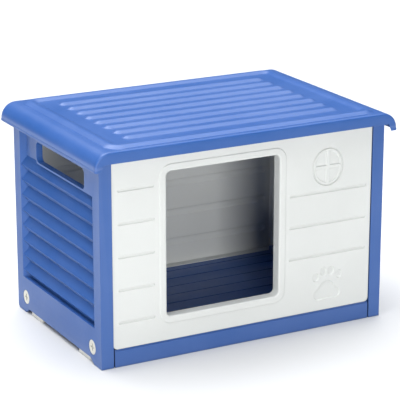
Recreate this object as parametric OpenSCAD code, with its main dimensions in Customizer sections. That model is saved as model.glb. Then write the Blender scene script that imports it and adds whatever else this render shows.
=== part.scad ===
// Flat-pack plastic pet house: lift-off roof, two side walls, front, back, floor tray and fixings.
// Origin: middle of the footprint on the ground. +Z is up and the doorway faces -Y.

/* [Walls] */
// Width over the two side walls
wall_w = 560; // [540:5:600]
// Depth from the front of the front posts to the back of the rear posts
wall_d = 356; // [340:4:380]
// Width of a post as seen from the front
post_w = 23; // [22:0.5:25]
// Width of a post as seen from the side
stile_w = 26; // [24:1:30]
// Thickness of the moulded skin
skin = 2.8; // [2.4:0.1:3.2]

/* [Roof] */
// Height of the roof's flat top above the ground
roof_top_z = 385; // [380:1:392]
// Overhang past each side wall
side_overhang = 15; // [13:0.5:18]
// Overhang past the front posts
front_overhang = 18; // [14:1:24]
// Overhang past the rear posts
rear_overhang = 24; // [14:1:28]
// Height of the front and rear fascia
fascia_h = 20.5; // [18:0.5:22]
// Height of the side rims
rim_h = 32.5; // [30:0.5:36]
// Radius of the rounded shoulders
shoulder_r = 28; // [24:1:30]
// Number of ribs on the top
rib_count = 8; // [4:1:8]
// Distance from rib to rib
rib_pitch = 37; // [34:1:38]
// Width of a rib and of the border bead
rib_w = 24; // [20:1:26]
// Height of a rib and of the border bead
rib_h = 4; // [3:0.5:5]
// Height of the raised field that carries the ribs
field_h = 1; // [0.5:0.5:1.5]

/* [Side walls] */
// Number of lap ridges
ridge_count = 8; // [4:1:8]
// Distance from ridge to ridge
ridge_pitch = 28.6; // [26:0.2:29]
// Depth of the ridges
ridge_depth = 10; // [6:0.5:11]
// Length of the carry slot
slot_l = 198; // [160:2:204]
// Height of the carry slot
slot_h = 37; // [30:1:38]
// Clearance under the middle of a side wall
belly_z = 9.5; // [7:0.5:11]

/* [Front] */
// Width of the doorway
door_w = 221; // [180:1:230]
// Height of the doorway
door_h = 258; // [220:2:262]
// Distance from the middle of the house to the middle of the doorway
door_x = -44; // [-50:1:-40]
// Height of the sill above the ground
sill_z = 74.5; // [72:0.5:80]
// Width of the raised door surround
surround_w = 13; // [9:1:14]
// Distance from groove to groove
groove_pitch = 58.3; // [55:0.1:60]
// Height of the lowest groove
groove_z = 78; // [76:1:82]

/* [Floor] */
// Height of the floor inside
floor_z = 33; // [32:0.5:36]
// Number of grooves across the floor
floor_grooves = 8; // [5:1:8]
// Distance from groove to groove
floor_pitch = 39.3; // [36:0.1:39.5]

/* [Fixings] */
// Diameter of a bolt's head
head_d = 26; // [24:0.5:27]
// Diameter of a bolt's shank
shank_d = 10; // [8:0.5:11]
// Distance from a bolt to the end of the side wall
bolt_inset = 36.5; // [36:0.5:38]
// Height of the bolts
bolt_z = 30; // [29.5:0.5:31]
// Length of a foot pad
pad_l = 47; // [40:1:48]
// Distance from the middle of a pad to the end of the side wall
pad_inset = 75.5; // [74:0.5:80]

/* [Hidden] */
$fn = 64;

BLUE = [0.40, 0.53, 0.82];
BLUE_DARK = [0.22, 0.33, 0.60];
WHITE = [0.91, 0.92, 0.91];
CREAM = [0.86, 0.85, 0.80];

half_w = wall_w / 2;
roof_w = wall_w + 2 * side_overhang;
roof_d = wall_d + front_overhang + rear_overhang;
front_y = front_overhang - roof_d / 2;
fit = 0.3;
wall_top = roof_top_z - skin - fit;
inner_x = half_w - post_w;

// Lap ridges: the nose stands near the outer face, the valley runs inward
nose_depth = 1;
nose_rise = 17;
top_nose_z = 281.5;
bottom_nose_z = top_nose_z - (ridge_count - 1) * ridge_pitch;
field_bottom = bottom_nose_z - (ridge_pitch - nose_rise) - 2;
field_top = top_nose_z + nose_rise + 2;
sheet_t = 2.8;
recess_depth = 9;
end_draft = 12;

// Carry slot
slot_z0 = field_top + 3;
slot_y0 = 57;
slot_r = 9;
slot_lip = 3;
slot_tube = 11;

// Side wall channels that hold the tongues of the front and back panels
panel_face_y = 2;
panel_d = 19;
tongue_t = 3;
channel_gap = 0.4;
rib_t = 3;
panel_half_w = inner_x - 0.8;
panel_z0 = 31.5;
panel_z1 = wall_top - 2.2;
panel_skin = 2.6;
tongue_reach = 13;

// Door surround, grooves and reliefs
surround_h = 1.4;
door_r = 9;
groove_w = 5;
groove_d = 2;
short_groove = [-243, -179];
long_groove = [90, 244];
back_groove = [-236, 236];
back_groove_w = 14;
back_groove_d = 1.8;
window_x = 165.5;
window_z = 298;
window_r = 31.5;
window_stretch = 7.5;
paw_x = 168;
paw_z = 66;

// Floor tray
tray_half_w = inner_x - fit;
apron_half_w = inner_x - 2.5;
apron_z = 29;
ledge_z = panel_z0 - fit;
ledge_d = panel_face_y + panel_d + 1;
plate_t = 3;
groove_floor_w = 4;
groove_floor_d = 1.8;
groove_margin = 20;
nut_af = 17;
nut_t = 9;
nut_gap = 0.3;
housing_w = nut_af + 2 * (nut_gap + skin);
housing_l = nut_t + 2 * skin + 0.4;
housing_z = bolt_z + nut_af / sqrt(3) + nut_gap + skin;

// Bolts
head_t = 3;
head_sink = 3.2;
boss_d = 33;
bolt_clear = 0.3;
shank_end = tray_half_w - housing_l + skin + fit;

// Pads
pad_w = 17;
pad_x = half_w - 3 - pad_w / 2;
peg_d = 8;
peg_gap = 0.05;

// ---- helpers ------------------------------------------------------------

// Puts what is drawn from the front of the posts into the house's frame
module from_front() {
  translate([0, front_y, 0]) children();
}

// Extrudes an outline drawn as (x, z) from y0 to y1
module along_y(y0, y1) {
  translate([0, y1, 0])
    rotate([90, 0, 0])
      linear_extrude(y1 - y0) children();
}

// Extrudes an outline drawn as (y, z) from x0 to x1
module along_x(x0, x1) {
  translate([x0, 0, 0])
    rotate([90, 0, 90])
      linear_extrude(x1 - x0) children();
}

// A box from its lowest to its highest corner
module block(low, high) {
  translate(low) cube(high - low);
}

// A rectangle with round corners from its lowest to its highest corner
module round_rect(low, high, r) {
  translate([low[0] + r, low[1]]) square([high[0] - low[0] - 2 * r, high[1] - low[1]]);
  translate([low[0], low[1] + r]) square([high[0] - low[0], high[1] - low[1] - 2 * r]);
  for (x = [low[0] + r, high[0] - r], z = [low[1] + r, high[1] - r])
    translate([x, z]) circle(r);
}

// A groove's outline: a slot with round ends
module slot_2d(x0, x1, z, w) {
  translate([x0, z - w / 2]) square([x1 - x0, w]);
  for (x = [x0, x1]) translate([x, z]) circle(w / 2);
}

// Keeps its children once at the front and once, turned round, at the rear
module front_and_rear() {
  children();
  translate([0, wall_d, 0]) mirror([0, 1, 0]) children();
}

// ---- roof ---------------------------------------------------------------

lip_h = 4;
lip_out = 0.8;
bead_inset = 13;
bead_r = 30;
field_x = roof_w / 2 - 32;
field_y = roof_d / 2 - 9;

// End outline of the roof, drawn inset by t, down to the height base
module roof_outline(t, base) {
  x = roof_w / 2 - lip_out - t;
  top = roof_top_z - t;
  r = shoulder_r - t;
  intersection() {
    union() {
      translate([-x + r, base]) square([2 * (x - r), top - base]);
      for (side = [-1, 1]) {
        translate([side * (x - r), top - r]) circle(r);
        translate([side * (x - r / 2) - r / 2, base]) square([r, top - r - base]);
      }
    }
    translate([-x, base]) square([2 * x, top - base]);
  }
}

// What is cut away below the fascia, with the sloping inner face of the rims
module fascia_cut() {
  x = half_w + 1;
  z = roof_top_z - fascia_h;
  base = roof_top_z - rim_h - 1;
  polygon([[-x, z], [-x - 6, base], [x + 6, base], [x, z]]);
}

// Ribs and bead are circle segments of width rib_w and height rib_h
rib_r = (rib_w * rib_w / 4 + rib_h * rib_h) / (2 * rib_h);
rib_axis_z = roof_top_z + field_h + rib_h - rib_r;

// What stands above the roof's flat top
module above_top() {
  intersection() {
    children();
    block([-field_x, -field_y, roof_top_z], [field_x, field_y, roof_top_z + field_h + rib_h + 1]);
  }
}

module rib(y, x_end) {
  above_top() {
    union() {
      translate([-x_end, y, rib_axis_z]) rotate([0, 90, 0]) cylinder(r = rib_r, h = 2 * x_end);
      for (x = [-x_end, x_end]) translate([x, y, rib_axis_z]) sphere(rib_r);
    }
  }
}

module bead_corner(x, y, turn) {
  translate([x, y, rib_axis_z])
    rotate([0, 0, turn])
      rotate_extrude(angle = 90)
        translate([bead_r, 0])
          intersection() {
            circle(rib_r);
            translate([-rib_w / 2 - 3, 0]) square([rib_w + 6, rib_r]);
          }
}

module border_bead() {
  x = field_x - bead_inset;
  y = field_y - bead_inset;
  for (side = [-1, 1]) {
    translate([side * x, -y + bead_r, rib_axis_z])
      rotate([-90, 0, 0]) cylinder(r = rib_r, h = 2 * (y - bead_r));
    translate([-x + bead_r, side * y, rib_axis_z])
      rotate([0, 90, 0]) cylinder(r = rib_r, h = 2 * (x - bead_r));
  }
  bead_corner(x - bead_r, y - bead_r, 0);
  bead_corner(-x + bead_r, y - bead_r, 90);
  bead_corner(-x + bead_r, -y + bead_r, 180);
  bead_corner(x - bead_r, -y + bead_r, 270);
}

module roof_shell() {
  half_d = roof_d / 2;
  base = roof_top_z - rim_h;
  difference() {
    along_y(-half_d, half_d)
      difference() {
        union() {
          roof_outline(0, base);
          for (side = [-1, 1])
            translate([side * (roof_w / 2 - lip_h / 2) - lip_h / 2, base]) square(lip_h);
        }
        fascia_cut();
      }
    along_y(-half_d + skin, half_d - skin) roof_outline(skin, base - 1);
  }
}

module roof() {
  rib_x = 212 - rib_w / 2;
  color(BLUE) {
    roof_shell();
    translate([0, 0, roof_top_z - 1])
      linear_extrude(field_h + 1)
        round_rect([-field_x, -field_y], [field_x, field_y], bead_r);
    above_top() border_bead();
    for (i = [0 : rib_count - 1])
      rib((i - (rib_count - 1) / 2) * rib_pitch, rib_x);
    // Locating ribs just inside the side walls
    for (side = [-1, 1])
      translate([side * (inner_x - 2.5), 0, 0])
        block([-1.3, front_y + 60, wall_top - 14], [1.3, front_y + wall_d - 60, roof_top_z - 1]);
  }
}

// ---- side walls ---------------------------------------------------------

// Outline of a side wall, drawn as (y, z)
module side_outline() {
  r = 8;
  polygon([
    [0, 0], [29, 0], [45, belly_z],
    [wall_d - 48, belly_z], [wall_d - 35, 0], [wall_d - r, 0],
    [wall_d, r], [wall_d, wall_top], [0, wall_top]
  ]);
  translate([wall_d - r, r]) circle(r);
}

// Lap ridges as (depth, z), from the top down
function lap_points(extra) = concat(
  [[recess_depth + extra, field_top]],
  [for (i = [0 : ridge_count - 1]) let (z = top_nose_z - i * ridge_pitch)
    each [
      [ridge_depth + extra, z + nose_rise],
      [nose_depth + extra, z],
      [ridge_depth + extra, z - (ridge_pitch - nose_rise)]
    ]],
  [[ridge_depth + extra, field_bottom - 2]]
);

function reversed(list) = [for (i = [len(list) - 1 : -1 : 0]) list[i]];

module lap_sheet() {
  translate([-half_w, 0, 0])
    along_y(stile_w - 2, wall_d - stile_w + 2)
      polygon(concat(lap_points(0), reversed(lap_points(sheet_t))));
}

module slot_outline(grow) {
  round_rect(
    [slot_y0 - grow, slot_z0 - grow],
    [slot_y0 + slot_l + grow, slot_z0 + slot_h + grow],
    slot_r + grow
  );
}

// Opening in the outer skin: the ridge field and the recess behind the carry slot
module field_outline() {
  translate([stile_w, field_bottom])
    square([wall_d - 2 * stile_w, field_top - field_bottom]);
  translate([slot_y0 + slot_l, field_top - 1])
    square([wall_d - stile_w - slot_y0 - slot_l, slot_h + 10]);
}

// Keeps its children clear of the roof's round shoulder, at the distance t from its outer face
module under_shoulder(t) {
  intersection() {
    children();
    along_y(-1, wall_d + 1) roof_outline(t, -1);
  }
}

module side_shell() {
  difference() {
    along_x(-half_w, -inner_x) side_outline();
    under_shoulder(2 * skin + fit)
      block([-half_w + skin, skin, belly_z + skin], [-inner_x + 1, wall_d - skin, wall_top]);
    along_x(-half_w - 1, -half_w + skin + 1) field_outline();
  }
}

// Sloping end of the ridge field, drawn from above as (x, y)
module field_end(top) {
  depth = ridge_depth + sheet_t;
  translate([-half_w, 0, field_bottom - 2])
    linear_extrude(top - field_bottom + 2)
      polygon([
        [0, stile_w - rib_t], [0, stile_w], [ridge_depth, stile_w + end_draft],
        [depth, stile_w + end_draft], [depth, stile_w - rib_t]
      ]);
}

// Border that closes the ridge field and the recess, and backs the carry slot
module field_border() {
  depth = ridge_depth + sheet_t;
  top = field_top + slot_h + 9;
  front_and_rear() field_end(top);
  block([-half_w, stile_w - 1, field_bottom - 3], [-half_w + depth, wall_d - stile_w + 1, field_bottom]);
  block([-half_w, slot_y0 + slot_l, top], [-half_w + depth, wall_d - stile_w + 1, top + rib_t]);
  block(
    [-half_w + recess_depth, stile_w - 1, field_top - 1],
    [-half_w + recess_depth + sheet_t, wall_d - stile_w + 1, top + 1]
  );
  block([-half_w, stile_w - 1, field_top], [-half_w + depth, slot_y0 + slot_l, field_top + 2]);
}

// Ribs in a post that form the channel for a panel's tongue
module post_channel() {
  y0 = panel_face_y + panel_d - tongue_t - channel_gap;
  y1 = panel_face_y + panel_d + channel_gap;
  for (y = [y0 - rib_t, y1])
    block([-half_w + 1, y, belly_z + 1], [-inner_x, y + rib_t, wall_top - 1]);
}

module bolt_boss() {
  translate([-half_w + 1, bolt_inset, bolt_z])
    rotate([0, 90, 0]) cylinder(d = boss_d, h = post_w - 1);
}

module bolt_bore() {
  translate([-half_w - 1, bolt_inset, bolt_z])
    rotate([0, 90, 0]) {
      cylinder(d = shank_d + 2 * bolt_clear, h = post_w + 2);
      cylinder(d = head_d + 1, h = head_sink + 1);
    }
}

module pad_bore() {
  translate([-pad_x, pad_inset, belly_z - 1])
    cylinder(d = peg_d + 2 * peg_gap, h = skin + 2);
}

// Side wall for the left; the right one is its mirror image
module side_wall() {
  difference() {
    under_shoulder(skin + fit)
      union() {
        side_shell();
        lap_sheet();
        field_border();
        along_x(-half_w, -half_w + slot_tube) slot_outline(slot_lip);
        front_and_rear() {
          post_channel();
          bolt_boss();
        }
      }
    along_x(-half_w - 1, -inner_x + 1) slot_outline(0);
    front_and_rear() {
      bolt_bore();
      pad_bore();
    }
    // Free way for the tongues above the panels' lower edge
    front_and_rear()
      block(
        [-inner_x - tongue_reach - 1, panel_face_y + panel_d - tongue_t - channel_gap, panel_z0 - 0.5],
        [-inner_x + 1, panel_face_y + panel_d + channel_gap, wall_top + 1]
      );
  }
}

module side_left() {
  color(BLUE) from_front() side_wall();
}

module side_right() {
  color(BLUE) from_front() mirror([1, 0, 0]) side_wall();
}

// ---- front and back -----------------------------------------------------

module panel_outline(inset) {
  r = 8 - inset;
  x = panel_half_w - inset;
  round_rect([-x, panel_z0 + inset], [x, panel_z1 - inset], r);
}

// A tray-shaped panel with its flange turned inwards and a tongue on each side
module panel_blank() {
  y0 = panel_face_y;
  y1 = panel_face_y + panel_d;
  difference() {
    along_y(y0, y1) panel_outline(0);
    along_y(y0 + panel_skin, y1 + 1) panel_outline(panel_skin);
  }
  for (side = [-1, 1])
    translate([side * (panel_half_w - 1 + tongue_reach / 2), 0, 0])
      block(
        [-tongue_reach / 2 - 1, y1 - tongue_t, panel_z0 + 8],
        [tongue_reach / 2 + 0.5, y1, panel_z1 - 1]
      );
}

module grooves_2d(span, rows, w) {
  for (row = rows) slot_2d(span[0], span[1], groove_z + row * groove_pitch, w);
}

module door_outline(grow) {
  round_rect(
    [door_x - door_w / 2 - grow, sill_z - grow],
    [door_x + door_w / 2 + grow, sill_z + door_h + grow],
    door_r + grow
  );
}

// Tall round outline of the window, inset by t
module window_2d(t) {
  r = window_r - t;
  translate([window_x, window_z]) {
    for (z = [-0.5, 0.5]) translate([0, z * window_stretch]) circle(r);
    square([2 * r, window_stretch], center = true);
  }
}

// Window: a bead and a cross that stand in a recess
module window_recess_2d() {
  margin = 3;
  bead = 3;
  upright = 6;
  bar = 4;
  difference() {
    window_2d(0);
    difference() {
      window_2d(margin);
      window_2d(margin + bead);
    }
    translate([window_x, window_z]) {
      square([2 * (window_r - margin) - 1, bar], center = true);
      square([upright, 2 * (window_r - margin) + window_stretch - 1], center = true);
    }
  }
}

// Generic paw print: a broad pad and four toes
module paw_recess_2d() {
  toe_r = 6;
  translate([paw_x, paw_z]) {
    for (x = [-17, 17]) translate([x, -5]) circle(10.5);
    translate([-17, -15.5]) square([34, 20]);
    translate([0, 3]) circle(17);
    for (toe = [-1.5 : 1 : 1.5])
      translate([toe * 16, 39 - 4.6 * toe * toe]) {
        for (z = [-2, 2]) translate([0, z]) circle(toe_r);
        translate([-toe_r, -2]) square([2 * toe_r, 4]);
      }
  }
}

module front_reliefs_2d() {
  grooves_2d(short_groove, [0 : 4], groove_w);
  grooves_2d(long_groove, [1 : 3], groove_w);
  window_recess_2d();
  paw_recess_2d();
}

module front_panel() {
  y0 = panel_face_y;
  inside = y0 + panel_skin;
  color(WHITE) from_front()
    difference() {
      union() {
        panel_blank();
        along_y(y0 - surround_h, y0 + 1) door_outline(surround_w);
        along_y(y0, y0 + panel_d) door_outline(panel_skin);
        along_y(inside - 1, inside + groove_d) {
          grooves_2d(short_groove, [0 : 4], groove_w + 4);
          grooves_2d(long_groove, [1 : 3], groove_w + 4);
          window_2d(-3);
          translate([paw_x, paw_z + 12]) circle(44);
        }
      }
      along_y(y0 - 3, y0 + panel_d + 1) door_outline(0);
      along_y(y0 - 1, y0 + groove_d) front_reliefs_2d();
    }
}

// The back's grooves are sunk from inside and stand out as ridges behind
module back_panel() {
  inside = panel_face_y + panel_skin;
  color(WHITE) from_front()
    translate([0, wall_d, 0]) mirror([0, 1, 0])
      difference() {
        union() {
          panel_blank();
          along_y(panel_face_y - back_groove_d, panel_face_y + 1)
            grooves_2d(back_groove, [0 : 4], back_groove_w + 4);
        }
        along_y(inside - back_groove_d, inside + 1) grooves_2d(back_groove, [0 : 4], back_groove_w);
      }
}

// ---- floor --------------------------------------------------------------

// Apron with its ledge, which carries the front or the back panel
module apron() {
  x = apron_half_w;
  block([-x, 0, 0], [x, skin, apron_z]);
  block([-x, skin - 1, ledge_z - plate_t], [x, ledge_d, ledge_z]);
  for (side = [-1, 1])
    translate([side * (x - skin / 2), 0, 0])
      block([-skin / 2, 1, 0], [skin / 2, ledge_d, ledge_z - 1]);
  block([-x, ledge_d - skin, belly_z], [x, ledge_d, ledge_z]);
}

// Raised corner that holds a nut, open from below
module nut_housing(side) {
  x0 = tray_half_w - housing_l;
  y0 = bolt_inset - housing_w / 2;
  translate([side * (x0 + housing_l / 2), 0, 0])
    block([-housing_l / 2, y0, belly_z], [housing_l / 2, y0 + housing_w, housing_z]);
}

module nut_pocket(side) {
  x1 = tray_half_w - skin;
  length = housing_l - 2 * skin;
  half = nut_af / 2 + nut_gap;
  translate([side * (x1 - length / 2), 0, 0])
    block([-length / 2, bolt_inset - half, -1], [length / 2, bolt_inset + half, housing_z - skin]);
  translate([0, bolt_inset, bolt_z])
    rotate([0, side * 90, 0])
      translate([0, 0, tray_half_w - skin - 1])
        cylinder(d = shank_d + 2 * bolt_clear, h = skin + 2);
}

module floor_ribs() {
  rib_low = 22;
  for (x = [-150 : 100 : 150])
    block([x - 1.3, ledge_d - 1, rib_low], [x + 1.3, wall_d - ledge_d + 1, floor_z - 2]);
  for (y = [wall_d / 2 - 60, wall_d / 2 + 60])
    block([-tray_half_w + 1, y - 1.3, rib_low], [tray_half_w - 1, y + 1.3, floor_z - 2]);
}

module floor_tray() {
  x = tray_half_w;
  color(BLUE_DARK) from_front()
    difference() {
      union() {
        block([-x, ledge_d - 1, floor_z - plate_t], [x, wall_d - ledge_d + 1, floor_z]);
        for (side = [-1, 1])
          translate([side * (x - skin / 2), 0, 0])
            block([-skin / 2, ledge_d - 1, belly_z], [skin / 2, wall_d - ledge_d + 1, floor_z]);
        floor_ribs();
        front_and_rear() {
          apron();
          for (side = [-1, 1]) nut_housing(side);
        }
      }
      front_and_rear()
        for (side = [-1, 1]) nut_pocket(side);
      for (i = [0 : floor_grooves - 1])
        translate([0, wall_d / 2 + (i - (floor_grooves - 1) / 2) * floor_pitch, 0])
          block(
            [-x + groove_margin, -groove_floor_w / 2, floor_z - groove_floor_d],
            [x - groove_margin, groove_floor_w / 2, floor_z + 1]
          );
    }
}

// ---- fixings ------------------------------------------------------------

// Places a fixing that is drawn for the front left corner
module corner(side, end) {
  from_front()
    translate([0, end > 0 ? wall_d : 0, 0])
      mirror([0, end > 0 ? 1 : 0, 0])
        mirror([side > 0 ? 1 : 0, 0, 0]) children();
}

module bolt() {
  head_x = -half_w + head_sink - head_t;
  recess = head_d * 0.5;
  color(CREAM)
    translate([head_x, bolt_inset, bolt_z])
      difference() {
        rotate([0, 90, 0]) {
          cylinder(d = head_d, h = head_t);
          cylinder(d = shank_d, h = -head_x - shank_end);
        }
        block([-1, -recess / 2, -1.2], [1.6, recess / 2, 1.2]);
        block([-1, -1.2, -recess / 2], [1.6, 1.2, recess / 2]);
      }
}

module nut() {
  x1 = -tray_half_w + skin;
  color(CREAM)
    translate([x1, bolt_inset, bolt_z])
      rotate([0, 90, 0])
        difference() {
          cylinder(r = nut_af / sqrt(3), h = nut_t, $fn = 6);
          translate([0, 0, -1]) cylinder(d = shank_d + 2 * peg_gap, h = nut_t + 2);
        }
}

module foot_pad() {
  color(CREAM)
    translate([-pad_x, pad_inset, 0]) {
      linear_extrude(belly_z) round_rect([-pad_w / 2, -pad_l / 2], [pad_w / 2, pad_l / 2], 3);
      translate([0, 0, belly_z - 1]) cylinder(d = peg_d, h = skin + 2);
    }
}

module bolt_front_left() { corner(-1, -1) bolt(); }
module bolt_front_right() { corner(1, -1) bolt(); }
module bolt_rear_left() { corner(-1, 1) bolt(); }
module bolt_rear_right() { corner(1, 1) bolt(); }
module nut_front_left() { corner(-1, -1) nut(); }
module nut_front_right() { corner(1, -1) nut(); }
module nut_rear_left() { corner(-1, 1) nut(); }
module nut_rear_right() { corner(1, 1) nut(); }
module foot_pad_front_left() { corner(-1, -1) foot_pad(); }
module foot_pad_front_right() { corner(1, -1) foot_pad(); }
module foot_pad_rear_left() { corner(-1, 1) foot_pad(); }
module foot_pad_rear_right() { corner(1, 1) foot_pad(); }

roof();
side_left();
side_right();
front_panel();
back_panel();
floor_tray();
bolt_front_left();
bolt_front_right();
bolt_rear_left();
bolt_rear_right();
nut_front_left();
nut_front_right();
nut_rear_left();
nut_rear_right();
foot_pad_front_left();
foot_pad_front_right();
foot_pad_rear_left();
foot_pad_rear_right();
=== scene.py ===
"""Looks of a flat-pack plastic pet house with a lift-off roof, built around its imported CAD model.

Everything is in metres, in the model's own frame: +Z is up and the doorway faces -Y.
"""
import math

import bmesh
import bpy
from mathutils import Matrix, Vector


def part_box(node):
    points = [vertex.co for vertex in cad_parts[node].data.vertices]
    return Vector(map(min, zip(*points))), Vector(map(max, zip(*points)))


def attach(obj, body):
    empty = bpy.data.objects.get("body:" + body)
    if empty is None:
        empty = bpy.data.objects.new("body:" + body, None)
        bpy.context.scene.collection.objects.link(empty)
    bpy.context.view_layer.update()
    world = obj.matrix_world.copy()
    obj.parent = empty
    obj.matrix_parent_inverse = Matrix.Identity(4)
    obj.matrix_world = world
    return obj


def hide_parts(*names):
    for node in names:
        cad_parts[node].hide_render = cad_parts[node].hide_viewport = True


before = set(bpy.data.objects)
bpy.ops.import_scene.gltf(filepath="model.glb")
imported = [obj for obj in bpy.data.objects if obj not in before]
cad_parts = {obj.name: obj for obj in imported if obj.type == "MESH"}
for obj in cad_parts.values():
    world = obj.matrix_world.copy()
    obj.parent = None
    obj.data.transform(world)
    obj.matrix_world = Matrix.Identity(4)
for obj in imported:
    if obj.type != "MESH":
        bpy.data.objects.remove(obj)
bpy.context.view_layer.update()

MM = 0.001

# strengths of the world's light: from all round, from the ceiling and from the patch behind the roof
WORLD_ROUND = 0.12
WORLD_CEILING = 4.7
WORLD_PATCH = 2.35


# ---- camera, light and floor -----------------------------------------------

def make_camera():
    """A long lens, above the front left corner."""
    azimuth = math.radians(-28.38)
    elevation = math.radians(17.03)
    back = Vector((
        math.sin(azimuth) * math.cos(elevation),
        -math.cos(azimuth) * math.cos(elevation),
        math.sin(elevation),
    ))
    data = bpy.data.cameras.new("camera")
    data.lens = 166.7
    data.sensor_width = 36
    data.clip_start = 0.05
    data.clip_end = 50
    camera = bpy.data.objects.new("camera", data)
    camera.location = (-1.5166, -2.8194, 1.1929)
    camera.rotation_mode = "QUATERNION"
    camera.rotation_quaternion = (-back).to_track_quat("-Z", "Y")
    bpy.context.scene.collection.objects.link(camera)
    bpy.context.scene.camera = camera


def area_light(name, place, target, size, power):
    """A square soft light that looks from place to target."""
    data = bpy.data.lights.new(name, "AREA")
    data.shape = "SQUARE"
    data.size = size
    data.energy = power
    light = bpy.data.objects.new(name, data)
    light.location = place
    aim = Vector(target) - Vector(place)
    light.rotation_mode = "QUATERNION"
    light.rotation_quaternion = aim.to_track_quat("-Z", "Y")
    bpy.context.scene.collection.objects.link(light)


def make_world():
    """A dim world with a bright ceiling and a bright patch behind the roof; the camera sees plain white."""
    world = bpy.data.worlds.new("studio")
    bpy.context.scene.world = world
    world.use_nodes = True
    tree = world.node_tree
    seen = tree.nodes["Background"]
    seen.inputs["Color"].default_value = (1, 1, 1, 1)
    direction = tree.nodes.new("ShaderNodeTexCoord").outputs["Generated"]

    def patch(axis, start, end, low, high):
        """Strength from low to high as the direction turns towards the axis."""
        near = tree.nodes.new("ShaderNodeVectorMath")
        near.operation = "DOT_PRODUCT"
        near.inputs[1].default_value = Vector(axis).normalized()
        tree.links.new(direction, near.inputs[0])
        node = tree.nodes.new("ShaderNodeMapRange")
        node.interpolation_type = "SMOOTHSTEP"
        for socket, value in zip(node.inputs[1:5], (start, end, low, high)):
            socket.default_value = value
        tree.links.new(near.outputs["Value"], node.inputs["Value"])
        return node.outputs["Result"]

    strength = tree.nodes.new("ShaderNodeMath")
    strength.operation = "ADD"
    tree.links.new(patch((-0.12, 0.1, 1), 0.72, 0.93, WORLD_ROUND, WORLD_CEILING), strength.inputs[0])
    tree.links.new(patch((0.42, 0.45, 0.79), 0.91, 0.98, 0, WORLD_PATCH), strength.inputs[1])
    around = tree.nodes.new("ShaderNodeBackground")
    around.inputs["Color"].default_value = (0.95, 0.97, 1, 1)
    tree.links.new(strength.outputs["Value"], around.inputs["Strength"])
    mix = tree.nodes.new("ShaderNodeMixShader")
    tree.links.new(tree.nodes.new("ShaderNodeLightPath").outputs["Is Camera Ray"], mix.inputs["Fac"])
    tree.links.new(around.outputs["Background"], mix.inputs[1])
    tree.links.new(seen.outputs["Background"], mix.inputs[2])
    tree.links.new(mix.outputs["Shader"], tree.nodes["World Output"].inputs["Surface"])


def make_lights():
    """Three soft lights: the key in front, one from the left for the reliefs, one behind the roof."""
    aim = (0, 0, 0.2)
    area_light("front", (-0.9, -3.0, 0.85), aim, 0.8, 50)
    area_light("left", (-2.9, -1.1, 1.0), aim, 0.7, 19)
    area_light("behind", (-0.3, 1.9, 2.7), (0, 0, 0.3), 1.3, 26)


def make_floor():
    """A plain pale floor, just under the feet."""
    mesh = bpy.data.meshes.new("floor")
    reach = 6
    bm = bmesh.new()
    corners = [(-reach, -reach), (reach, -reach), (reach, reach), (-reach, reach)]
    bm.faces.new([bm.verts.new((x, y, -0.0002)) for x, y in corners])
    bm.to_mesh(mesh)
    bm.free()
    floor = bpy.data.objects.new("floor", mesh)
    bpy.context.scene.collection.objects.link(floor)
    material = bpy.data.materials.new("studio_floor")
    material.use_nodes = True
    shader = material.node_tree.nodes["Principled BSDF"]
    shader.inputs["Base Color"].default_value = (0.62, 0.62, 0.62, 1)
    shader.inputs["Roughness"].default_value = 0.7
    mesh.materials.append(material)


# ---- materials --------------------------------------------------------------

def srgb(red, green, blue):
    """A linear colour from 0 to 255 display values."""
    def linear(value):
        value = value / 255
        return value / 12.92 if value <= 0.04045 else ((value + 0.055) / 1.055) ** 2.4
    return (linear(red), linear(green), linear(blue), 1)


def lighter(colour, amount):
    """The colour moved towards white."""
    return tuple(c + (1 - c) * amount for c in colour[:3]) + (1,)


def darker(colour, amount):
    """The colour moved towards black."""
    return tuple(c * (1 - amount) for c in colour[:3]) + (1,)


class Nodes:
    """Short calls that add nodes to one material."""

    def __init__(self, name):
        self.material = bpy.data.materials.new(name)
        self.material.use_nodes = True
        self.tree = self.material.node_tree
        self.shader = self.tree.nodes["Principled BSDF"]

    def add(self, kind, **values):
        node = self.tree.nodes.new(kind)
        for key, value in values.items():
            setattr(node, key, value)
        return node

    def link(self, start, end):
        self.tree.links.new(start, end)

    def noise(self, position, scale, detail, roughness=0.5):
        node = self.add("ShaderNodeTexNoise")
        self.link(position, node.inputs["Vector"])
        node.inputs["Scale"].default_value = scale
        node.inputs["Detail"].default_value = detail
        node.inputs["Roughness"].default_value = roughness
        return node.outputs["Fac"]

    def ramp(self, source, low, high, value_low=0.0, value_high=1.0):
        node = self.add("ShaderNodeMapRange")
        node.inputs["From Min"].default_value = low
        node.inputs["From Max"].default_value = high
        node.inputs["To Min"].default_value = value_low
        node.inputs["To Max"].default_value = value_high
        self.link(source, node.inputs["Value"])
        return node.outputs["Result"]

    def blend(self, factor, first, second):
        """first and second are a colour or another node's output."""
        node = self.add("ShaderNodeMix", data_type="RGBA")
        self.link(factor, node.inputs[0])
        for socket, value in ((node.inputs[6], first), (node.inputs[7], second)):
            if isinstance(value, tuple):
                socket.default_value = value
            else:
                self.link(value, socket)
        return node.outputs[2]


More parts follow.
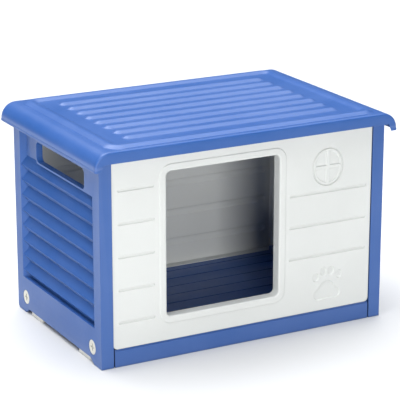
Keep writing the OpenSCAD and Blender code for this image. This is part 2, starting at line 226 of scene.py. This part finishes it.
def moulded_plastic(name, colour, gloss, grain=0.06, wear=0.12, hollow_shade=0.6):
    """Injection-moulded polypropylene: satin grain, faint random flow tone, pale edges and painted shade in
    inner corners.
    """
    nodes = Nodes(name)
    position = nodes.add("ShaderNodeTexCoord").outputs["Object"]
    flow = nodes.ramp(nodes.noise(position, 7, 4, 0.55), 0.3, 0.7)
    speck = nodes.ramp(nodes.noise(position, 420, 2), 0.35, 0.65)
    base = nodes.blend(flow, darker(colour, 0.045), lighter(colour, 0.02))
    mottled = nodes.blend(nodes.ramp(speck, 0, 1, 0, 0.1), base, darker(colour, 0.12))
    # painted shade: the colour darkens where ambient occlusion finds hollows, creases and gaps between parts
    hollow = nodes.add("ShaderNodeAmbientOcclusion", samples=12)
    hollow.inputs["Distance"].default_value = 7 * MM
    painted_shade_mask = nodes.ramp(hollow.outputs["AO"], 0.3, 0.85, hollow_shade, 0)
    mottled = nodes.blend(painted_shade_mask, mottled, darker(colour, 0.75))
    edges = nodes.ramp(nodes.add("ShaderNodeNewGeometry").outputs["Pointiness"], 0.53, 0.62, 0, wear)
    scuffed = nodes.blend(edges, mottled, lighter(colour, 0.35))
    nodes.link(scuffed, nodes.shader.inputs["Base Color"])
    rubbed = nodes.noise(position, 24, 4, 0.6)
    nodes.link(nodes.ramp(rubbed, 0.25, 0.75, gloss - 0.05, gloss + 0.07), nodes.shader.inputs["Roughness"])
    nodes.shader.inputs["Specular IOR Level"].default_value = 0.4
    nodes.shader.inputs["Coat Weight"].default_value = 0.02
    nodes.shader.inputs["Coat Roughness"].default_value = 0.22
    bump = nodes.add("ShaderNodeBump")
    bump.inputs["Strength"].default_value = grain
    bump.inputs["Distance"].default_value = 0.3 * MM
    nodes.link(nodes.noise(position, 1500, 3, 0.6), bump.inputs["Height"])
    nodes.link(bump.outputs["Normal"], nodes.shader.inputs["Normal"])
    return nodes.material


MATERIALS = {
    "blue_plastic": moulded_plastic("house_blue", srgb(41, 87, 156), gloss=0.35),
    "floor_plastic": moulded_plastic("tray_blue", srgb(38, 84, 153), gloss=0.5),
    "white_plastic": moulded_plastic(
        "panel_white", srgb(211, 213, 210), gloss=0.42, grain=0.04, wear=0.05, hollow_shade=0.16
    ),
    "bolt_plastic": moulded_plastic("fixing_cream", srgb(214, 212, 200), gloss=0.4, wear=0.1, hollow_shade=1),
    "pad_plastic": moulded_plastic("pad_cream", srgb(226, 225, 218), gloss=0.5, wear=0.1),
}


def paint(piece, slot):
    """Gives the whole piece one slot's material."""
    piece.data.materials.clear()
    piece.data.materials.append(MATERIALS[slot])


# ---- mesh helpers -------------------------------------------------------------

def steps(start, end, pitch):
    """Even positions from start to end, at most pitch apart, both ends included."""
    count = max(1, math.ceil((end - start) / pitch - 1e-6))
    return [start + (end - start) * i / count for i in range(count + 1)]


def mirrored(positions):
    """The positions with their mirror images, in order and without doubles."""
    return sorted({round(sign * p, 4) for p in positions for sign in (-1, 1)})


def grid_faces(bm, rows, closed=False):
    """Faces between rows of vertices; closed joins each row's end to its start."""
    for low, high in zip(rows, rows[1:]):
        span = len(low) if closed else len(low) - 1
        for i in range(span):
            j = (i + 1) % len(low)
            bm.faces.new((low[i], low[j], high[j], high[i]))


def add_box(bm, low, high):
    """A closed box."""
    corner = [bm.verts.new((x, y, z)) for z in (low[2], high[2]) for y in (low[1], high[1])
              for x in (low[0], high[0])]
    for face in ((0, 2, 3, 1), (4, 5, 7, 6), (0, 1, 5, 4), (2, 6, 7, 3), (0, 4, 6, 2), (1, 3, 7, 5)):
        bm.faces.new([corner[i] for i in face])


def new_piece(name, bm, body, slot, *stands_for):
    """Turns millimetres into a piece in metres that rides on its body."""
    mesh = bpy.data.meshes.new(name)
    bmesh.ops.recalc_face_normals(bm, faces=bm.faces[:])
    bm.transform(Matrix.Scale(MM, 4))
    bm.to_mesh(mesh)
    bm.free()
    piece = bpy.data.objects.new(name, mesh)
    bpy.context.scene.collection.objects.link(piece)
    paint(piece, slot)
    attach(piece, body)
    if stands_for:
        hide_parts(*stands_for)
    return piece


def settle(piece):
    """Applies the piece's modifiers and keeps the edges that turn by 40 degrees or more crisp."""
    graph = bpy.context.evaluated_depsgraph_get()
    mesh = bpy.data.meshes.new_from_object(piece.evaluated_get(graph))
    piece.modifiers.clear()
    bm = bmesh.new()
    bm.from_mesh(mesh)
    for face in bm.faces:
        face.smooth = True
    for edge in bm.edges:
        edge.smooth = edge.calc_face_angle(0) < math.radians(40)
    bm.to_mesh(mesh)
    bm.free()
    piece.data = mesh


# ---- roof -----------------------------------------------------------------------

LOW, HIGH = (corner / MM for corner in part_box("roof"))
RIB_H = 4
FIELD_H = 1
FIELD_EDGE = 0.9
ROOF_TOP = HIGH.z - RIB_H - FIELD_H
SHOULDER_R = 28
LIP_H = 4
LIP_OUT = 0.8
FASCIA_H = 20.5
CORNER_INSET = 17
CORNER_SLOPE = 5
SKIN = 2.8
FILLET = 3.2
RIB_W = 24
RIB_PITCH = 37
RIB_COUNT = 8
RIB_REACH = 212
FIELD_X = HIGH.x - 32
FIELD_Y = HIGH.y - 9
FIELD_R = 30
BEAD_INSET = 13
POST_W = 23
LOCATING_T = 2.6
LOCATING_H = 17.4
LOCATING_Y = (-121, 115)
SHOULDER_X = HIGH.x - LIP_OUT - SHOULDER_R


def hump(distance, width, height):
    """A soft ridge across its distance from the middle."""
    share = min(1, abs(distance) / (width / 2))
    return height * (1 - share ** 2) ** 1.35


def outside_round_rect(x, y, half_x, half_y, radius):
    """Distance of a point outside a rectangle with round corners, negative inside."""
    dx = abs(x) - (half_x - radius)
    dy = abs(y) - (half_y - radius)
    return math.hypot(max(dx, 0), max(dy, 0)) + min(max(dx, dy), 0) - radius


def roof_relief(x, y):
    """Height over the roof's flat top: the raised field, its border bead and the ribs."""
    edge = outside_round_rect(x, y, FIELD_X, FIELD_Y, FIELD_R)
    field = FIELD_H * min(1, max(0, -edge / FIELD_EDGE))
    bead = hump(edge + BEAD_INSET, RIB_W, RIB_H)
    row = round(y / RIB_PITCH + (RIB_COUNT - 1) / 2)
    row = min(RIB_COUNT - 1, max(0, row))
    along = max(0, abs(x) - (RIB_REACH - RIB_W / 2))
    across = y - (row - (RIB_COUNT - 1) / 2) * RIB_PITCH
    return field + max(bead, hump(math.hypot(along, across), RIB_W, RIB_H))


def shoulder_line(inset):
    """(x, z) from the end of the flat top, round the shoulder and over the lip to the rim's foot."""
    radius = SHOULDER_R - inset
    centre_z = ROOF_TOP - SHOULDER_R
    turns = [math.radians(90 - 7.5 * i) for i in range(1, 13)]
    line = [(SHOULDER_X + radius * math.cos(t), centre_z + radius * math.sin(t)) for t in turns]
    edge = HIGH.x - inset
    lip = LOW.z + LIP_H
    line += [(edge - LIP_OUT, lip + 0.5), (edge - 0.15, lip - 0.1), (edge, lip - 0.7)]
    return line + [(edge, LOW.z + 0.9), (edge - 0.25, LOW.z + 0.25), (edge - 0.9, LOW.z)]


def cut_line(count):
    """(x, z, dx, dz) along the fascia's lower edge and the rim's sloping inner edge; dx, dz point into it."""
    corner = HIGH.x - CORNER_INSET
    fascia_z = ROOF_TOP - FASCIA_H
    line = []
    for i in range(1, count + 1):
        share = i / count
        if share < 0.5:
            line.append((SHOULDER_X + (corner - SHOULDER_X) * share * 2, fascia_z, 0, 1))
        else:
            drop = share * 2 - 1
            z = fascia_z + (LOW.z - fascia_z) * drop
            line.append((corner + CORNER_SLOPE * drop, z, 0.9, 0.4 * (1 - drop)))
    return line


def roof_rows():
    """(y, inset) from the front face over the top to the rear face."""
    turns = [math.radians(18 * i) for i in range(6)]
    front = [(LOW.y + FILLET * (1 - math.cos(t)), FILLET * (1 - math.sin(t))) for t in turns]
    crest = steps(0, FIELD_Y - 2, 1.9) + steps(FIELD_Y - 1.2, FIELD_Y + 0.4, 0.4)
    middle = [(y, 0) for y in mirrored(crest)]
    return front + middle + [(-y, inset) for y, inset in reversed(front)]


def build_roof():
    """The lift-off roof as one moulded skin: relief on top, round shoulders, rims and fascias."""
    # wide steps along the ribs, fine ones over their ends, the bead and the field's edge
    near = steps(0, RIB_REACH - 26, 31) + steps(RIB_REACH - 24, FIELD_X - 1.3, 2)
    flat_x = mirrored(near + steps(FIELD_X - 0.9, FIELD_X + 0.3, 0.4) + [SHOULDER_X])
    bm = bmesh.new()
    rows = []
    for y, inset in roof_rows():
        side = shoulder_line(inset)
        points = [(-x, z) for x, z in reversed(side)]
        points += [(x, ROOF_TOP - inset + (roof_relief(x, y) if inset < 0.01 else 0)) for x in flat_x]
        points += side
        rows.append([bm.verts.new((x, y, z)) for x, z in points])
    grid_faces(bm, rows)

    side = cut_line(len(shoulder_line(0)))
    edge = [(-x, z, -dx, dz) for x, z, dx, dz in reversed(side)]
    edge += [(x, ROOF_TOP - FASCIA_H, 0, 1) for x in flat_x] + side
    for first, out, turn in ((rows[0], LOW.y, 1), (rows[-1], HIGH.y, -1)):
        strip = [first]
        for depth, back in ((0.9, 0), (0.25, 0.25), (0, 0.9)):
            strip.append([bm.verts.new((x + dx * depth, out + turn * back, z + dz * depth))
                          for x, z, dx, dz in edge])
        grid_faces(bm, strip)
    roof = new_piece("roof_shell", bm, "lid", "blue_plastic", "roof")
    shell = roof.modifiers.new("skin", "SOLIDIFY")
    shell.thickness = SKIN * MM
    shell.offset = -1
    shell.use_even_offset = True
    settle(roof)


def build_locating_ribs():
    """Two ribs under the roof that drop in beside the side walls' slots."""
    wall_half_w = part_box("side_right")[1].x / MM
    bm = bmesh.new()
    for side in (-1, 1):
        middle = side * (wall_half_w - POST_W - 2.5)
        low = (middle - LOCATING_T / 2, LOCATING_Y[0], ROOF_TOP - LOCATING_H)
        add_box(bm, low, (middle + LOCATING_T / 2, LOCATING_Y[1], ROOF_TOP - SKIN + 0.2))
    ribs = new_piece("roof_locating_ribs", bm, "lid", "blue_plastic")
    bevel = ribs.modifiers.new("round", "BEVEL")
    bevel.width = 0.5 * MM
    bevel.segments = 2
    settle(ribs)


# ---- front and back panels ------------------------------------------------------

WALL_LOW, WALL_HIGH = (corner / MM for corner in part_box("side_left"))
FACE_DEPTH = 2
PANEL_D = 19
PANEL_SKIN = 2.6
PANEL_HALF_W = 256.2
PANEL_Z = (31.5, 379.7)
PANEL_R = 8
TONGUE_T = 3
TONGUE_OUT = 12.4
DOOR_X = -44
DOOR_W = 221
DOOR_Z = (74.5, 332.5)
DOOR_R = 9
SURROUND_W = 13
GROOVE_W = 5
GROOVE_D = 2
SHORT_GROOVE = (-243, -179)
LONG_GROOVE = (90, 244)
BACK_GROOVE = (-236, 236)
GROOVE_ROWS = [78 + 58.3 * row for row in range(5)]
WINDOW = (165.5, 298)
WINDOW_R = 31.5
WINDOW_STRETCH = 7.5
PAW = (168, 66)
TOE_PITCH = 16
TOE_RISE = 39
TOE_SAG = 4.6
TOE_R = 6
PAW_BACKING_RISE = 12
PAW_BACKING_R = 41
BACK_GROOVE_W = 14
BACK_GROOVE_D = 1.8


def round_rect(x_span, z_span, radius, arc_steps=8):
    """Outline of a rectangle with round corners, as a function of how far it is grown."""
    def outline(grow):
        r = max(radius + grow, 0.05)
        corners = (
            (x_span[1] + grow - r, z_span[0] - grow + r, -90),
            (x_span[1] + grow - r, z_span[1] + grow - r, 0),
            (x_span[0] - grow + r, z_span[1] + grow - r, 90),
            (x_span[0] - grow + r, z_span[0] - grow + r, 180),
        )
        turns = [90 * i / arc_steps for i in range(arc_steps + 1)]
        return [(x + r * math.cos(math.radians(start + turn)), z + r * math.sin(math.radians(start + turn)))
                for x, z, start in corners for turn in turns]
    return outline


def capsule(x_span, z_span, radius, arc_steps=5):
    """Outline of a slot with round ends between two points, as a function of how far it is grown."""
    return round_rect(
        (x_span[0] - radius, x_span[1] + radius), (z_span[0] - radius, z_span[1] + radius), radius, arc_steps
    )


def window_pane(side, up):
    """Outline of one quarter of the window, between its bead and its cross."""
    def outline(grow):
        x0, z0 = 3 - grow, 2 - grow
        r = WINDOW_R - 6 + grow
        rise = WINDOW_STRETCH / 2
        last = math.acos(x0 / r)
        arc = [(r * math.cos(last * i / 10), rise + r * math.sin(last * i / 10)) for i in range(11)]
        points = [(x0, z0), (r, z0)] + arc
        return [(WINDOW[0] + side * x, WINDOW[1] + up * z) for x, z in points]
    return outline


def paw_pad(grow):
    """Outline of the paw's broad pad: where rays from its middle leave three round lobes and a flat base."""
    # x, z and radius of each lobe
    lobes = ((-17, -3, 10.5), (17, -3, 10.5), (0, 5, 17))
    count = 60
    points = []
    for i in range(count):
        turn = math.tau * i / count
        dx, dz = math.cos(turn), math.sin(turn)
        reach = 0
        for x, z, r in lobes:
            along = dx * x + dz * z
            root = (r + grow) ** 2 - x * x - z * z + along ** 2
            reach = max(reach, along + math.sqrt(root)) if root > 0 else reach
        if dz < 0:
            base = (12.3 + grow) / -dz
            reach = max(reach, base) if abs(base * dx) < 17 else reach
        points.append((PAW[0] + reach * dx, PAW[1] - 2 + reach * dz))
    return points


class Relief:
    """A panel's mesh: rings of vertices at a depth behind its face, joined into skins."""

    def __init__(self, face_y, inward):
        self.bm = bmesh.new()
        self.face_y = face_y
        self.inward = inward

    def ring(self, outline, grow, depth):
        y = self.face_y + self.inward * depth
        return [self.bm.verts.new((x, y, z)) for x, z in outline(grow)]

    def sweep(self, outline, profile):
        """Joins rings of (grow, depth) and returns the first and the last."""
        rings = [self.ring(outline, grow, depth) for grow, depth in profile]
        grid_faces(self.bm, rings, closed=True)
        return rings[0], rings[-1]

    def fill(self, *rings):
        """Closes the flat space between an outer ring and the rings in it."""
        edges = []
        for ring in rings:
            for one, two in zip(ring, ring[1:] + ring[:1]):
                edge = self.bm.edges.get((one, two))
                edges.append(edge or self.bm.edges.new((one, two)))
        bmesh.ops.triangle_fill(self.bm, use_beauty=True, edges=edges, normal=(0, 1, 0))

    def dent(self, outline, profile):
        """A sunk or raised shape with a flat bottom; returns its rim."""
        rim, bottom = self.sweep(outline, profile)
        self.fill(bottom)
        return rim


SUNK = ((0.6, 0), (0.2, 0.1), (-0.1, 0.42), (-0.35, 1.1), (-0.75, 1.65), (-1.3, 1.93), (-2.1, GROOVE_D))
BACKING = ((3.6, PANEL_SKIN), (3.1, 2.8), (2.7, 4.1), (2, PANEL_SKIN + GROOVE_D))


def front_grooves():
    """Outlines of the short grooves at the left and the long ones at the right."""
    for z in GROOVE_ROWS:
        yield capsule(SHORT_GROOVE, (z, z), GROOVE_W / 2)
    for z in GROOVE_ROWS[1:4]:
        yield capsule(LONG_GROOVE, (z, z), GROOVE_W / 2)


def front_reliefs():
    """Outlines of the simple sunk shapes of the front: the grooves and the paw."""
    yield from front_grooves()
    yield paw_pad
    for toe in (-1.5, -0.5, 0.5, 1.5):
        x = PAW[0] + toe * TOE_PITCH
        z = PAW[1] + TOE_RISE - TOE_SAG * toe * toe
        yield capsule((x, x), (z - 2, z + 2), TOE_R, 6)


def add_window(relief):
    """The oval window: a ditch, a bead and a cross between four panes; returns its rim and outline."""
    x, z = WINDOW
    oval = capsule((x, x), (z - WINDOW_STRETCH / 2, z + WINDOW_STRETCH / 2), WINDOW_R, 14)
    ditch = ((0.6, 0), (0.2, 0.1), (-0.1, 0.42), (-0.45, 1.3), (-0.9, 1.85), (-1.5, 2), (-2.1, 1.85),
             (-2.55, 1.3), (-2.9, 0.45), (-3.2, 0.12), (-3.7, 0))
    rim, inner = relief.sweep(oval, ditch)
    pane = ((0.5, 0), (0.15, 0.12), (-0.15, 0.5), (-0.5, 1.3), (-1, 1.8), (-1.8, 2))
    panes = [relief.dent(window_pane(side, up), pane) for side in (-1, 1) for up in (-1, 1)]
    relief.fill(inner, *panes)
    return rim, oval


def add_tongues(relief):
    """Flanges that slide into the posts."""
    near = relief.face_y + relief.inward * (PANEL_D - TONGUE_T)
    far = relief.face_y + relief.inward * PANEL_D
    for side in (-1, 1):
        x0, x1 = sorted((side * (PANEL_HALF_W - 2), side * (PANEL_HALF_W + TONGUE_OUT)))
        add_box(relief.bm, (x0, min(near, far), PANEL_Z[0] + 8), (x1, max(near, far), PANEL_Z[1] - 1))


def add_border(relief):
    """The panel's rounded outer flange; returns the rims of its face and of its inner side."""
    outline = round_rect((-PANEL_HALF_W, PANEL_HALF_W), PANEL_Z, PANEL_R)
    lip = PANEL_SKIN
    return relief.sweep(outline, (
        (-1.2, 0), (-0.6, 0.1), (-0.15, 0.4), (0, 1),
        (0, PANEL_D - 0.8), (-0.3, PANEL_D - 0.2), (-0.9, PANEL_D),
        (-lip + 0.8, PANEL_D), (-lip + 0.2, PANEL_D - 0.2), (-lip, PANEL_D - 0.8),
        (-lip, lip + 1), (-lip - 0.4, lip + 0.2), (-lip - 1.2, lip),
    ))


def add_doorway(relief):
    """The raised surround and the rounded jamb; returns the rims on the face and on the inner side."""
    span = (DOOR_X - DOOR_W / 2, DOOR_X + DOOR_W / 2)
    lip = PANEL_SKIN
    wide = SURROUND_W
    return relief.sweep(round_rect(span, DOOR_Z, DOOR_R, 10), (
        (wide + 0.9, 0), (wide + 0.3, -0.06), (wide - 0.1, -0.35),
        (wide - 0.4, -0.9), (wide - 1, -1.25), (wide - 1.9, -1.4),
        (3.6, -1.4), (2.4, -1.26), (1.3, -0.8), (0.5, 0), (0.1, 1.1), (0, 2.4),
        (0, PANEL_D - 0.8), (0.3, PANEL_D - 0.2), (0.9, PANEL_D), (lip - 0.6, PANEL_D), (lip, PANEL_D - 0.7),
        (lip, lip + 1), (lip + 0.4, lip + 0.2), (lip + 1.2, lip),
    ))


def finish_panel(name, relief, node):
    """Turns the relief into a piece with flat faces shaded flat."""
    panel = new_piece(name, relief.bm, "house", "white_plastic", node)
    shade = panel.modifiers.new("shade", "WEIGHTED_NORMAL")
    shade.keep_sharp = True
    shade.weight = 90


def build_front():
    """The white front: door, window, grooves and paw, each with its bulge on the inner side."""
    relief = Relief(WALL_LOW.y + FACE_DEPTH, 1)
    face, inside = add_border(relief)
    door_face, door_inside = add_doorway(relief)
    window_rim, window_outline = add_window(relief)
    rims = [door_face, window_rim]
    backs = [door_inside, relief.dent(window_outline, BACKING)]
    for outline in front_reliefs():
        rims.append(relief.dent(outline, SUNK))
    for outline in front_grooves():
        backs.append(relief.dent(outline, BACKING))
    x, z = PAW[0], PAW[1] + PAW_BACKING_RISE
    backs.append(relief.dent(capsule((x, x), (z, z), PAW_BACKING_R, 12), BACKING))
    relief.fill(face, *rims)
    relief.fill(inside, *backs)
    add_tongues(relief)
    finish_panel("front_panel_moulded", relief, "front_panel")


def build_back():
    """The white back: five scooped grooves inside that stand out as soft bars outside."""
    relief = Relief(WALL_HIGH.y - FACE_DEPTH, -1)
    face, inside = add_border(relief)
    radius = BACK_GROOVE_W / 2
    scoop = [radius - 0.7 * step for step in range(9)]
    sunk = [(r - radius, PANEL_SKIN - BACK_GROOVE_D * (1 - (r / radius) ** 3)) for r in scoop]
    ridge = [(2.6, 0)] + [(r - radius + 2, -BACK_GROOVE_D * (1 - (r / radius) ** 4)) for r in scoop]
    bars = [capsule(BACK_GROOVE, (z, z), BACK_GROOVE_W / 2) for z in GROOVE_ROWS]
    relief.fill(face, *(relief.dent(bar, ridge) for bar in bars))
    relief.fill(inside, *(relief.dent(bar, sunk) for bar in bars))
    add_tongues(relief)
    finish_panel("back_panel_moulded", relief, "back_panel")


# ---- CAD nodes that stay ------------------------------------------------------

def round_edges(piece, width):
    """Melts the triangles of flat faces together and rounds the edges between them."""
    weld = piece.modifiers.new("weld", "WELD")
    weld.merge_threshold = 0.02 * MM
    flat = piece.modifiers.new("flat", "DECIMATE")
    flat.decimate_type = "DISSOLVE"
    flat.angle_limit = math.radians(1.5)
    bevel = piece.modifiers.new("round", "BEVEL")
    bevel.limit_method = "ANGLE"
    bevel.angle_limit = math.radians(30)
    bevel.width = width
    bevel.segments = 2
    bevel.use_clamp_overlap = True
    bevel.harden_normals = False
    normals = piece.modifiers.new("shade", "WEIGHTED_NORMAL")
    normals.keep_sharp = False
    for polygon in piece.data.polygons:
        polygon.use_smooth = True


# slot and width of the rounded edges, in millimetres, of each large node
LOOKS = {
    "side_left": ("blue_plastic", 1.0),
    "side_right": ("blue_plastic", 1.0),
    "floor_tray": ("floor_plastic", 0.7),
}


def dress_cad_nodes():
    """Paints and rounds every node that no modelled piece replaces: walls, floor, pads and fixings."""
    for name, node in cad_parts.items():
        if node.hide_render:
            continue
        slot, width = LOOKS.get(name, ("bolt_plastic", 0.5))
        if name.startswith("foot_pad"):
            slot, width = "pad_plastic", 0.8
        paint(node, slot)
        round_edges(node, width * MM)


make_camera()
bpy.context.scene.view_settings.view_transform = "Standard"
make_world()
make_lights()
make_floor()
build_roof()
build_locating_ribs()
build_front()
build_back()
dress_cad_nodes()
